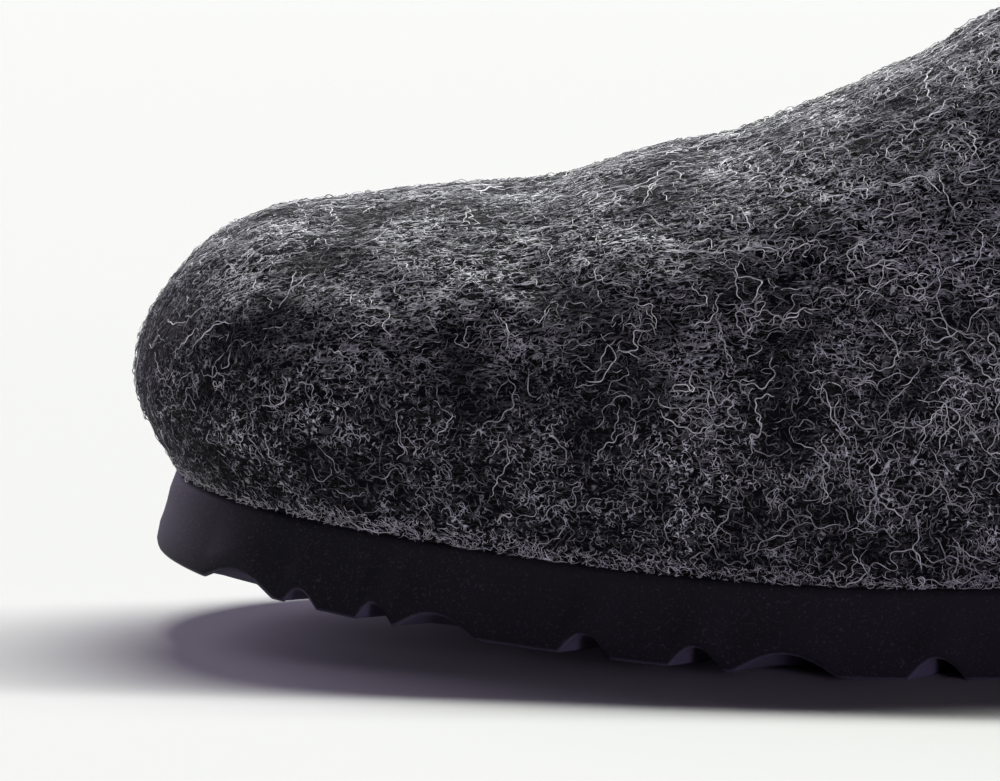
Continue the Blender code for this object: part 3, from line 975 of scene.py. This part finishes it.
@dataclass
class FibreCoat:
    """A coat of loose wool fibres on the felt, each a closed tapered tube that follows the surface."""

    name: str
    finish: WoolFibre
    lie: Lie
    seed: int
    count: int
    segments: int
    length: Span
    radius: Span
    lift: Span
    turn: float
    crimp: float
    gathered: float = 0.0
    corners: int = 3
    growth: Growth = Growth()
    curl: Curl = Curl()

    def seeds(self, face: Array, rng: np.random.Generator) -> tuple[Array, Array]:
        """Random starting places, even over the face, or along its lower edge where the coat is frayed.

        Args:
            face: grid of the outer face.
            rng: the random numbers.

        Returns:
            Column and row of each start, as decimals.
        """
        growth = self.growth
        across = np.roll(face, -1, axis=0) - face
        area = np.linalg.norm(np.cross(across[:, :-1], np.diff(face, axis=1)), axis=-1)
        if self.lie is Lie.FRAYED:
            rise = np.linalg.norm(face[:, :-1] - face[:, :1], axis=-1)
            weight = area * (rise < growth.frayed_height)
        else:
            weight = area * self.thickness(face[:, :-1])
        cell = rng.choice(weight.size, size=self.count, p=(weight / weight.sum()).reshape(-1))
        column, row = np.unravel_index(cell, weight.shape)
        return column + rng.uniform(0, 1, self.count), row + rng.uniform(0, 1, self.count)

    def thickness(self, places: Array) -> Array:
        """How thickly the coat grows: more in front and on the sides, less low on the toe, in patches.

        Args:
            places: points of the outer face.

        Returns:
            A weight for each place.
        """
        growth = self.growth
        x, height = places[..., 0], places[..., 2]
        front = 1 + growth.front_extra * (x < growth.front_end)
        low_toe = ramp(x, *growth.bare_toe_places) * ramp(height, *growth.bare_toe_heights)
        side = 1 + self.gathered * ramp(x, *growth.gathering_places)
        patches = growth.patches.at(places, self.seed) * growth.clumps.at(places, self.seed + 50)
        return front * side * patches * (1 - growth.bare_toe * low_toe)

    @staticmethod
    def read(grid: Array, column: Array, row: Array) -> Array:
        """Read a grid between its points; columns run round, and rows stop at both edges.

        Args:
            grid: values by column and row.
            column: decimal columns.
            row: decimal rows.

        Returns:
            The values, blended between the four points round each place.
        """
        row = np.clip(row, 0, grid.shape[1] - 1.001)
        c0, r0 = np.floor(column).astype(int), np.floor(row).astype(int)
        fc, fr = (column - c0)[..., None], (row - r0)[..., None]
        c0, c1 = c0 % len(grid), (c0 + 1) % len(grid)
        low = grid[c0, r0] * (1 - fc) + grid[c1, r0] * fc
        high = grid[c0, r0 + 1] * (1 - fc) + grid[c1, r0 + 1] * fc
        return low * (1 - fr) + high * fr

    def both_ways(self, way: float, spread: float, rng: np.random.Generator) -> Array:
        """One angle for each fibre, spread round a way or straight against it, as many of each."""
        return rng.normal(way, spread, self.count) + math.pi * rng.integers(0, 2, self.count)

    def headings(self, start: Array, normal: Array, rng: np.random.Generator) -> Array:
        """First direction of each fibre, as an angle from the length of the shoe.

        Near the top line and at the frayed edge fibres lie along the shoe, low on the toe they
        stand up and down, and in between they lie at every angle.

        Args:
            start: where each fibre starts.
            normal: the felt's normal there.
            rng: the random numbers.

        Returns:
            An angle for each fibre.
        """
        growth = self.growth
        combed = ramp(normal[:, 2], *growth.combed_slopes)
        upright = ramp(start[:, 0], *growth.upright_places) * ramp(normal[:, 2], *growth.upright_slopes)
        wide = rng.uniform(-math.pi, math.pi, self.count)
        along = self.both_ways(0, growth.combed_spread, rng)
        stood = self.both_ways(math.pi / 2, growth.upright_spread, rng)
        pick = rng.uniform(0, 1, self.count)
        if self.lie is Lie.FRAYED:
            return self.both_ways(0, growth.frayed_spread, rng)
        angle = np.where(pick < growth.combed_share * combed, along, wide)
        return np.where(pick > 1 - growth.upright_share * upright, stood, angle)

    def bends(self, length: Array, t: Array, rng: np.random.Generator) -> Array:
        """How far each heading has turned along the fibre: an even turn, a slow swing and a short crimp.

        Args:
            length: each fibre's length.
            t: shares of the length.
            rng: the random numbers.

        Returns:
            Angles by fibre and step.
        """
        count, curl = self.count, self.curl
        run = 2 * math.pi * length[:, None] * t
        slow = rng.uniform(*curl.slow_wave, count)[:, None]
        short = rng.uniform(*curl.short_wave, count)[:, None]
        phases = rng.uniform(0, 2 * math.pi, (2, count, 1))
        swing = curl.swing * np.abs(rng.normal(0, 1, count))[:, None] * np.sin(run / slow + phases[0])
        crimp = self.crimp * rng.uniform(*curl.crimp_share, count)[:, None] * np.sin(run / short + phases[1])
        return rng.normal(0, self.turn, count)[:, None] * t + swing + crimp

    def walk(
        self, face: Array, normals: Array, seeds: tuple[Array, Array], heading: Array, step: Array
    ) -> tuple[Array, Array]:
        """Walk every fibre over the felt at once, one step at a time.

        A step moves by its length along the heading on the surface. It is shared out between the
        grid's columns and rows, as the two shares that add up to that move.

        Args:
            face: grid of the outer face.
            normals: its normals.
            seeds: column and row of each start.
            heading: angles by fibre and step.
            step: length of each fibre's steps.

        Returns:
            Points and surface normals by fibre and step.
        """
        column, row = seeds
        around = (np.roll(face, -1, axis=0) - np.roll(face, 1, axis=0)) / 2
        up = np.gradient(face, axis=1)
        points, outs = [], []
        for angle in heading.T[..., None]:
            place, out = self.read(face, column, row), unit(self.read(normals, column, row))
            c_way, r_way = self.read(around, column, row), self.read(up, column, row)
            points.append(place)
            outs.append(out)
            rearward = unit(c_way) * np.where(place[:, 1] < 0, 1.0, -1.0)[:, None]
            ahead = np.array([1.0, 0, 0]) - out[:, :1] * out + self.growth.rearward_lean * rearward
            ahead = unit(ahead - (ahead * out).sum(-1, keepdims=True) * out)
            way = np.cos(angle) * ahead + np.sin(angle) * np.cross(out, ahead)
            cc, rr, cr = (c_way**2).sum(-1), (r_way**2).sum(-1), (c_way * r_way).sum(-1)
            wc, wr = (way * c_way).sum(-1) * step, (way * r_way).sum(-1) * step
            whole = np.maximum(cc * rr - cr * cr, 1e-16)
            column = column + (wc * rr - wr * cr) / whole
            row = row + (wr * cc - wc * cr) / whole
        return np.stack(points, axis=1), np.stack(outs, axis=1)

    def paths(self, face: Array, normals: Array) -> tuple[Array, Array]:
        """The middle line of every fibre, over the felt by its own rise.

        Args:
            face: grid of the outer face.
            normals: its normals.

        Returns:
            Points and surface normals by fibre and step.
        """
        rng = np.random.default_rng(self.seed)
        seeds = self.seeds(face, rng)
        shortest, longest = self.length
        length = shortest + (longest - shortest) * rng.beta(*self.curl.length_bias, self.count)
        t = np.linspace(0, 1, self.segments + 1)
        bend = self.bends(length, t, rng)
        beat = rng.uniform(*self.curl.ripple_beat, self.count)[:, None]
        first = self.headings(self.read(face, *seeds), self.read(normals, *seeds), rng)
        points, outs = self.walk(face, normals, seeds, first[:, None] + bend, length / self.segments)
        height = rng.uniform(*self.lift, self.count)[:, None]
        return points + outs * self.curl.rise(self.lie, height, beat, t)[..., None], outs

    def tones(self, rings: int, rng: np.random.Generator) -> Array:
        """Tone of every point: each fibre's own, in soft beads along it.

        Args:
            rings: rings of points in each fibre.
            rng: the random numbers.

        Returns:
            Values from 0 to 1, by fibre, ring and corner in one row.
        """
        curl, shape = self.curl, (self.count, 1)
        turns = np.linspace(0, 1, rings) * rng.uniform(*curl.bead_turn, shape)
        beads = 0.5 + 0.5 * np.sin(turns + rng.uniform(0, 2 * math.pi, shape))
        tone = rng.beta(*curl.tone_bias, shape) * (1 - curl.bead_depth + curl.bead_depth * beads)
        return np.repeat(tone.reshape(-1), self.corners)

    def build(self, face: Array, normals: Array) -> bpy.types.Object:
        """Make the coat: a tapered three-cornered tube round every path, closed at both ends.

        Args:
            face: grid of the outer face.
            normals: its normals.

        Returns:
            One object with all the fibres of this coat.
        """
        paths, outs = self.paths(face, normals)
        rng = np.random.default_rng(self.seed + 1000)
        rings = self.segments + 1
        ahead = unit(np.gradient(paths, axis=1))
        side = unit(np.cross(ahead, outs))
        top = np.cross(side, ahead)
        radius = rng.uniform(*self.radius, self.count)[:, None] * self.curl.taper(np.linspace(0, 1, rings))
        angle = np.linspace(0, 2 * math.pi, self.corners, endpoint=False)[:, None] + math.pi / 2
        offset = np.cos(angle) * side[:, :, None] + np.sin(angle) * top[:, :, None]
        points = paths[:, :, None] + radius[..., None, None] * offset
        base = (np.arange(self.count) * rings * self.corners)[:, None, None]
        faces = [part[None, :, ::-1] + base for part in tube_faces(rings, self.corners)]
        faces = [part.reshape(-1, part.shape[-1]) for part in faces]
        piece = make_piece(self.name, points, faces, self.finish.material())
        mark_points(piece, "tone", self.tones(rings, rng))
        return piece


@dataclass
class Sole:
    """The moulded foam-rubber sole, with finer rounds than its solid.

    Ranges are shares of the shoe's length, and wall heights are shares of the wall's height.
    """

    last: Last
    finish: FoamRubber = field(default_factory=FoamRubber)
    toe_flare: float = 0.0027
    side_flare: float = 0.0022
    arch_rise: float = 0.0022
    outer_arch_rise: float = 0.0007
    arch_start: Span = (0.55, 0.60)
    arch_end: Span = (0.64, 0.70)
    heel_lift: float = 0.0022
    heel_lift_length: float = 0.016
    wave: float = 0.0040
    wave_length: float = 0.060
    wave_start: Span = (0.02, 0.10)
    wave_end: Span = (0.90, 0.985)
    scoop_share: float = 0.085
    groove_power: float = 1.25
    groove_steps: int = 12
    groove_gap: float = 0.25 * MM
    stations: int = 179
    end_turns: tuple[float, ...] = (0.02, 0.1, 0.35)
    across: int = 28
    top_lines: int = 7
    wall_heights: tuple[float, ...] = (0.0, 0.015, 0.04, 0.1, 0.3, 0.5, 0.75, 0.9, 0.95, 0.985, 1.0)
    # share of the wall's height that gets the tread's paler colour: a painted highlight along the lowest
    # edge
    tread_glint_height: float = 0.03
    settling_rounds: int = 8
    wall_levels: Table = field(
        default_factory=lambda: Table(
            place=(0.0, 0.02, 0.05, 0.5, 0.9, 0.965, 1.0),
            columns={"flare": (0.88, 0.96, 1.0, 0.56, 0.08, -0.06, -0.34)},
        )
    )

    def bottom(self, x: Array, across: Array) -> Array:
        """Height of the underside without grooves: the toe spring, a low arch and the heel's lift.

        Args:
            x: places along the shoe.
            across: places across the sole, from -1 at the outer edge to 1 at the inner.

        Returns:
            The height at each place.
        """
        last = self.last
        waist = last.ease(x, *self.arch_start) * (1 - last.ease(x, *self.arch_end))
        arch = waist * (self.outer_arch_rise + (self.arch_rise - self.outer_arch_rise) * (1 + across) / 2)
        heel = self.heel_lift * np.clip(1 - (last.length - x) / self.heel_lift_length, 0, 1) ** 2
        return last.spring(x) + arch + heel

    def tread(self, x: Array, inside: Array) -> Array:
        """Depth of the grooves, as arches with soft shoulders; a scoop rounds down to the tread.

        Args:
            x: stations along the sole.
            inside: share of the sole's width from the nearer edge, one row for each line across.

        Returns:
            The depth by line across and station.
        """
        centre = np.array(TREAD.place)[:, None] * self.last.length
        width = np.array(TREAD.columns["width"])[:, None]
        off = np.clip(np.abs(x[None] - centre) * 2 / width, 0, 1)
        arch = np.array(TREAD.columns["depth"])[:, None] * (1 - off**2) ** self.groove_power
        whole = np.array(TREAD.columns["across"])[:, None]
        scoop = np.sqrt(1 - np.clip(inside / self.scoop_share, 0, 1) ** 2)
        return (arch * whole).sum(axis=0) + scoop * (arch * (1 - whole)).sum(axis=0)

    def shift(self, x: Array, y: Array) -> Array:
        """How far a groove has moved along the shoe: a slant and a wave, which fade out at both ends.

        Args:
            x: where the groove starts, at the outer side.
            y: sideways places across the sole.

        Returns:
            The distance towards the heel.
        """
        last = self.last
        slant = np.interp(x, np.array(TREAD.place) * last.length, TREAD.columns["slant"])
        fade = last.ease(x, *self.wave_start) * (1 - last.ease(x, *self.wave_end))
        inwards = y - last.sole_edge().edge(x, Side.OUTER)
        return (slant * inwards + self.wave * np.sin(2 * math.pi * inwards / self.wave_length)) * fade

    def wall_line(self, x: Array, height: float, side: Side) -> Array:
        """One line along the wall: the outline, pushed out by the flare at that height.

        A groove's shift depends on where the line ends up, so the two are worked out in turn
        until they settle.

        Args:
            x: stations along the sole.
            height: share of the wall's height.
            side: which wall.

        Returns:
            A point for each station.
        """
        edge = self.last.sole_edge()
        share = float(self.wall_levels.at("flare", np.array(height)))
        flare = self.side_flare * share
        front = edge.front - self.toe_flare * share
        outline = Outline(self.last, front, edge.back + flare, edge.inset - flare)
        own = front + (x - edge.front) / (edge.back - edge.front) * (outline.back - front)
        moved = own
        for _ in range(self.settling_rounds):
            moved = own + self.shift(own, outline.edge(moved, side))
        low = self.bottom(moved, np.array(side.value)) + self.tread(x, np.array(0.0))
        z = low + height * (self.last.sole_top(moved) - low)
        return np.stack([moved, outline.edge(moved, side), z], axis=-1)

    def places(self) -> Array:
        """Stations along the sole, crowded at both round ends and round every groove's edges.

        Returns:
            Places in order from the toe.
        """
        edge = self.last.sole_edge()
        near_end = np.radians(self.end_turns)
        turn = np.linspace(0, math.pi, self.stations + 2)[1:-1]
        turn = np.concatenate([near_end, turn, math.pi - near_end[::-1]])
        even = edge.front + (edge.back - edge.front) * (1 - np.cos(turn)) / 2
        centre = np.array(TREAD.place)[:, None] * self.last.length
        width = np.array(TREAD.columns["width"])[:, None]
        half_turn = np.linspace(0, math.pi, self.groove_steps + 1)
        grooves = (centre - width / 2 * np.cos(half_turn)).reshape(-1)
        apart = np.abs(even[:, None] - grooves[None]).min(axis=1) > self.groove_gap
        inside = (np.abs(even[:, None] - centre.T) < width.T / 2).any(axis=1)
        return np.sort(np.concatenate([even[apart & ~inside], grooves]))

    def underside(self, x: Array, outer: Array, inner: Array) -> Array:
        """Lines along the underside, between the lowest lines of the two walls.

        Args:
            x: stations along the sole.
            outer: lowest line of the outer wall.
            inner: lowest line of the inner wall.

        Returns:
            Points by line and station.
        """
        turn = np.linspace(0, math.pi, self.across + 1)[1:-1, None]
        share = (1 - np.cos(turn)) / 2
        y = outer[:, 1] + share * (inner[:, 1] - outer[:, 1])
        own = outer[:, 0] - self.shift(x, outer[:, 1])
        moved = own + self.shift(own, y)
        z = self.bottom(moved, 2 * share - 1) + self.tread(x, np.minimum(share, 1 - share))
        return np.stack([moved, y, z], axis=-1)

    def build(self) -> bpy.types.Object:
        """Make the sole from rings round its cross-sections, closed at toe and heel.

        Returns:
            The piece.
        """
        x = self.places()
        outer = [self.wall_line(x, height, Side.OUTER) for height in self.wall_heights]
        inner = [self.wall_line(x, height, Side.INNER) for height in self.wall_heights]
        low = self.underside(x, outer[0], inner[0])
        share = np.linspace(0, 1, self.top_lines + 2)[1:-1, None, None]
        high = inner[-1] + share * (outer[-1] - inner[-1])
        high[..., 2] = self.last.sole_top(high[..., 0])
        rings = np.stack([*outer[::-1], *low, *inner, *high], axis=1)
        piece = make_piece("foam_sole", rings, tube_faces(*rings.shape[:2]), self.finish.material())
        # The underside and the lowest wall levels get the tread colour: painted reflection and painted
        # highlight.
        levels = ramp(np.array(self.wall_heights), self.tread_glint_height, 0)
        tread = np.concatenate([levels[::-1], np.ones(len(low)), levels, np.zeros(len(high))])
        mark_points(piece, "tread", np.tile(tread, len(rings)))
        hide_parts("sole")
        return piece


@dataclass
class Insole:
    """The contoured footbed inside the slipper, cupped at the heel and raised under the arch.

    Ranges are shares of the shoe's length.
    """

    last: Last
    finish: InsoleFelt = field(default_factory=InsoleFelt)
    inset: float = 0.0039
    thickness: float = 0.0042
    heel_cup: float = 0.005
    cup_start: Span = (0.62, 0.88)
    cup_power: float = 2.5
    arch_pad: float = 0.0045
    pad_start: Span = (0.38, 0.56)
    pad_end: Span = (0.62, 0.80)
    pad_power: float = 1.6
    edge_round: float = 0.0012
    stations: int = 80
    across: int = 30

    def rise(self, x: Array, across: Array, half: Array) -> Array:
        """Height of the upper face over the sole: the cup, the pad and edges on a quarter circle.

        Args:
            x: stations along the footbed.
            across: places across it, from -1 at the outer edge to 1 at the inner.
            half: half its width at each station.

        Returns:
            The height by line across and station.
        """
        last = self.last
        bed = last.seat().drawn_in(self.inset)
        cup = self.heel_cup * last.ease(x, *self.cup_start) * np.abs(across) ** self.cup_power
        back = self.heel_cup * (1 - last.rounded(bed.back - x, last.heel_round, 1))
        waist = last.ease(x, *self.pad_start) * (1 - last.ease(x, *self.pad_end))
        pad = self.arch_pad * waist * np.clip(across, 0, 1) ** self.pad_power
        near = np.clip((1 - np.abs(across)) * half / self.edge_round, 0, 1)
        end = np.clip(np.minimum(x - bed.front, bed.back - x) / self.edge_round, 0, 1)
        drop = self.edge_round * (1 - np.sqrt(1 - (1 - near) ** 2) * np.sqrt(1 - (1 - end) ** 2))
        return self.thickness + np.maximum(cup, back) + pad - drop

    def build(self) -> bpy.types.Object:
        """Make the footbed: a flat underside, rounded edges and a cupped upper face.

        Returns:
            The piece.
        """
        last = self.last
        bed = last.seat().drawn_in(self.inset)
        turn = np.linspace(0, math.pi, self.stations + 2)[1:-1]
        x = bed.front + (bed.back - bed.front) * (1 - np.cos(turn)) / 2
        outer, inner = bed.edge(x, Side.OUTER), bed.edge(x, Side.INNER)
        across = np.sin(np.linspace(-math.pi / 2, math.pi / 2, self.across + 1))[:, None]
        middle, half = (outer + inner) / 2, (inner - outer) / 2
        y = middle + across * half
        base = last.sole_top(x) + last.fit
        under = np.stack([x + 0 * y, y, base + 0 * y], axis=-1)
        over = np.stack([x + 0 * y, y, base + self.rise(x, across, half)], axis=-1)
        rings = np.concatenate([under, over[::-1]]).transpose(1, 0, 2)
        piece = make_piece("footbed", rings, tube_faces(*rings.shape[:2]), self.finish.material())
        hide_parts("insole")
        return piece


@dataclass
class Studio:
    """The floor, the light and the camera.

    Angles are in degrees, and a lamp's way points from the slipper to the lamp.
    """

    camera_distance: float = 1.3
    camera_elevation: float = 6.0
    camera_azimuth: float = 4.0
    film_width: float = 36.0
    pixels_per_metre: float = 6800.0
    picture_width: int = 1000
    aim: Span = (-0.0849, 0.0355)
    floor_half: float = 6.0
    strip_place: tuple[float, float, float] = (60.0, 59.0, 80.0)
    strip_size: Span = (160.0, 9.0)
    strip_power: float = 535000.0
    strip_colour: str = "fcfff8"
    front_way: tuple[float, float, float] = (0.55, -0.83, 0.06)
    front_strength: float = 1.3
    front_breadth: float = 15.0
    back_way: tuple[float, float, float] = (-0.62, 0.70, 0.36)
    back_strength: float = 2.0
    back_breadth: float = 40.0
    lilac: str = "eadcff"
    room_colour: str = "e8d6fb"
    room: float = 0.01
    backdrop: float = 0.12
    backdrop_way: tuple[float, float, float] = (-0.5, 0.87, 0.0)
    backdrop_edge: float = 0.7

    def floor(self) -> bpy.types.Object:
        """A large sheet of paper under the slipper.

        Returns:
            The sheet.
        """
        h = self.floor_half
        mesh = bpy.data.meshes.new("floor")
        mesh.from_pydata([(-h, -h, 0), (h, -h, 0), (h, h, 0), (-h, h, 0)], [], [(0, 1, 2, 3)])
        mesh.materials.append(PaleFloor().material())
        made = new_object("floor", mesh)
        return made

    def camera(self) -> bpy.types.Object:
        """A long lens in front of the outer side, low over the floor, aimed at the toe half.

        Returns:
            The camera, now the scene's own.
        """
        data = bpy.data.cameras.new("camera")
        made = new_object("camera", data)
        e, a = math.radians(self.camera_elevation), math.radians(self.camera_azimuth)
        way = Vector((math.sin(a) * math.cos(e), -math.cos(a) * math.cos(e), math.sin(e)))
        made.location = Vector((self.aim[0], 0.0, self.aim[1])) + way * self.camera_distance
        made.rotation_euler = (-way).to_track_quat("-Z", "Y").to_euler()
        data.sensor_fit = "HORIZONTAL"
        data.sensor_width = self.film_width
        data.lens = data.sensor_width * self.camera_distance * self.pixels_per_metre / self.picture_width
        data.clip_start = 0.01
        bpy.context.scene.camera = made
        return made

    def lamps(self) -> None:
        """A long strip overhead and behind, and two broad lilac lamps.

        The strip gives the shadow its crisp long edge and its slow fade ahead of the toe. One broad
        lamp stands behind the toe and lightens the far side of the shadow; the other stands low in
        front and picks out the wool of the near side.
        """
        strip = bpy.data.lights.new("strip", "AREA")
        strip.shape = "RECTANGLE"
        strip.size, strip.size_y = self.strip_size
        strip.energy = self.strip_power
        strip.color = linear(self.strip_colour)[:3]
        new_object("strip", strip).location = self.strip_place
        self.broad_lamp("front fill", self.front_way, self.front_strength, self.front_breadth)
        self.broad_lamp("back fill", self.back_way, self.back_strength, self.back_breadth)

    def broad_lamp(
        self, name: str, way: tuple[float, float, float], strength: float, breadth: float
    ) -> bpy.types.Object:
        """A distant lilac lamp.

        Args:
            name: the lamp's name.
            way: where it stands, seen from the slipper.
            strength: its strength.
            breadth: how many degrees wide it looks.

        Returns:
            The lamp.
        """
        data = bpy.data.lights.new(name, "SUN")
        data.energy = strength
        data.color = linear(self.lilac)[:3]
        data.angle = math.radians(breadth)
        lamp = new_object(name, data)
        lamp.rotation_euler = Vector(way).to_track_quat("Z", "Y").to_euler()
        return lamp

    def surroundings(self) -> None:
        """A dark room with a bright backdrop behind and to the toe's side, in the palest lilac.

        Colours are shown as they are, with no film curve.
        """
        world = bpy.data.worlds.new("room")
        world.use_nodes = True
        tree = world.node_tree
        tree.nodes.clear()
        way = add(tree, "TexCoord").outputs["Generated"]
        ways = {0: way, 1: self.backdrop_way}
        toward = add(tree, "VectorMath", ways, operation="DOT_PRODUCT").outputs["Value"]
        bright = {
            "Value": toward,
            "From Min": 0.0,
            "From Max": self.backdrop_edge,
            "To Min": self.room,
            "To Max": self.backdrop,
        }
        strength = add(tree, "MapRange", bright).outputs[0]
        light = add(tree, "Background", {"Color": linear(self.room_colour), "Strength": strength})
        add(tree, "OutputWorld", {"Surface": light.outputs[0]})
        bpy.context.scene.world = world
        bpy.context.scene.view_settings.view_transform = "Standard"

    def build(self) -> None:
        """Put up the floor, the lamps, the room and the camera."""
        self.floor()
        self.camera()
        self.lamps()
        self.surroundings()


def coats() -> list[FibreCoat]:
    """The fibres of the felt, from the dim matted ones to the long pale ones and the frayed edge.

    Returns:
        Six coats, each of its own shade, length and number.
    """
    dim = WoolFibre("dim wool", "131315", "535358", 0.05)
    grey = WoolFibre("grey wool", "262629", "b2b2b8", 0.25)
    light = WoolFibre("light wool", "5c5c61", "f2f2f8", 0.8)
    pale = WoolFibre("pale wool", "8e8e94", "ffffff", 0.9)
    thin, even, bold = (0.04 * MM, 0.06 * MM), (0.055 * MM, 0.085 * MM), (0.065 * MM, 0.11 * MM)
    near, far = (0.05 * MM, 0.4 * MM), (0.1 * MM, 0.55 * MM)
    stub, short, fair = (0.8 * MM, 2.5 * MM), (1.8 * MM, 4.5 * MM), (2.5 * MM, 6 * MM)
    long, longest = (4 * MM, 8 * MM), (6 * MM, 14 * MM)
    return [
        FibreCoat(
            "fibres_dim", dim, Lie.MATTED, seed=11, count=4400, segments=6,
            length=short, radius=even, lift=near, turn=1.2, crimp=0.6
        ),
        FibreCoat(
            "fibres_grey", grey, Lie.MATTED, seed=12, count=3600, segments=8,
            length=fair, radius=even, lift=far, turn=1.3, crimp=0.6, gathered=0.4
        ),
        FibreCoat(
            "fibres_light", light, Lie.MATTED, seed=13, count=2500, segments=12,
            length=long, radius=even, lift=far, turn=1.5, crimp=0.65, gathered=0.9
        ),
        FibreCoat(
            "fibres_pale", pale, Lie.MATTED, seed=14, count=1100, segments=24,
            length=longest, radius=bold, lift=far, turn=1.8, crimp=0.6, gathered=1.4
        ),
        FibreCoat(
            "fibres_loose", light, Lie.LOOSE, seed=15, count=3800, segments=4,
            length=stub, radius=thin, lift=far, turn=1.2, crimp=0.5
        ),
        FibreCoat(
            "fibres_frayed", pale, Lie.FRAYED, seed=16, count=3400, segments=4,
            length=stub, radius=thin, lift=far, turn=1.4, crimp=0.7
        ),
    ]


def main() -> None:
    """Build the studio and the slipper."""
    logging.basicConfig(level=logging.INFO, format="%(message)s")
    last = Last()
    Studio().build()
    Sole(last).build()
    Insole(last).build()
    face, normals = Upper(last).build()
    for coat in coats():
        coat.build(face, normals)


if __name__ == "__main__":
    main()
